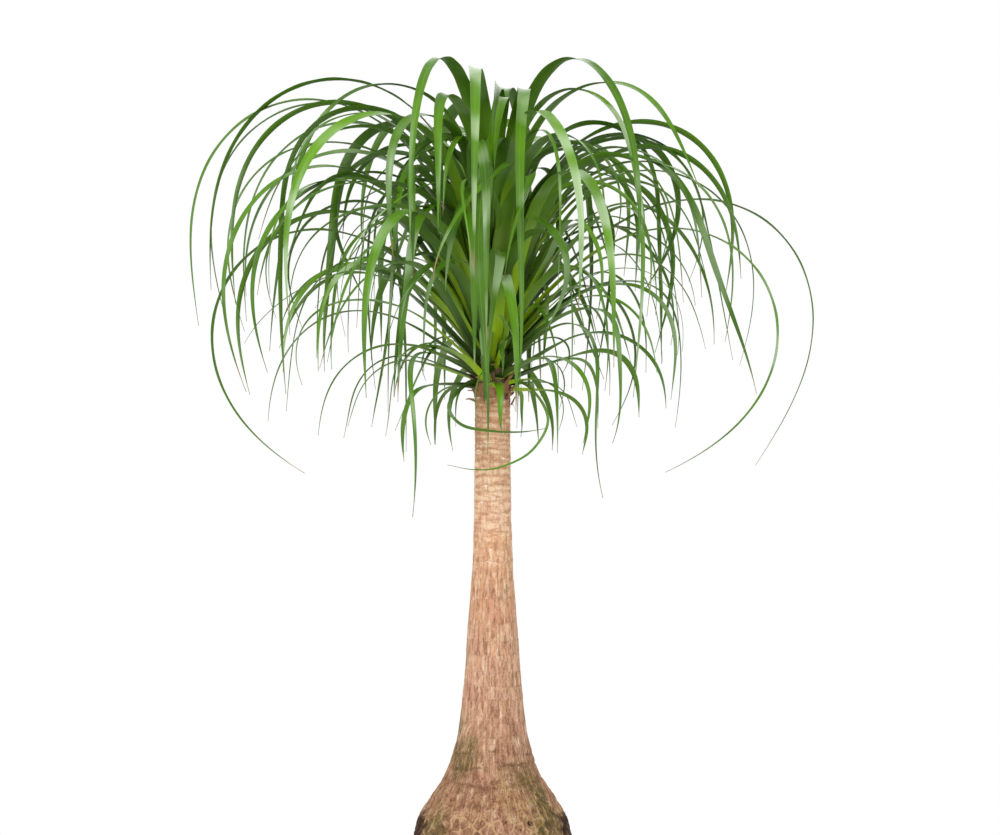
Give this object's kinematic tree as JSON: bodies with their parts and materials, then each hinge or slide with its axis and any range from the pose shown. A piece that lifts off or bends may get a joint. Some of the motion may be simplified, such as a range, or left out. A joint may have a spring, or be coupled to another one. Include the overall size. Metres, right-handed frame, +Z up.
{
  "type": "potted ponytail palm",
  "caption": "Ponytail palm in a plain tapered clay pot: a swollen, net-barked foot, a slim ringed trunk and a dome of long arching strap leaves.",
  "frame": {"origin": "centre of the pot's underside, on the surface that the pot stands on", "axes": "+Z up along the pot and the trunk, +X to the right of the view that shows the plant, +Y away from that view"},
  "size_m": [0.833, 0.7191, 1.3134],
  "materials": {
    "pot": "matte",
    "soil": "matte",
    "bark": "matte",
    "dry_leaf": "matte",
    "leaf": "satin"
  },
  "bodies": {
    "root": {"pot": "pot", "soil": "soil", "trunk": "bark", "old_leaf_bases": "dry_leaf", "leaf_crown": "leaf"}
  },
  "joints": []
}
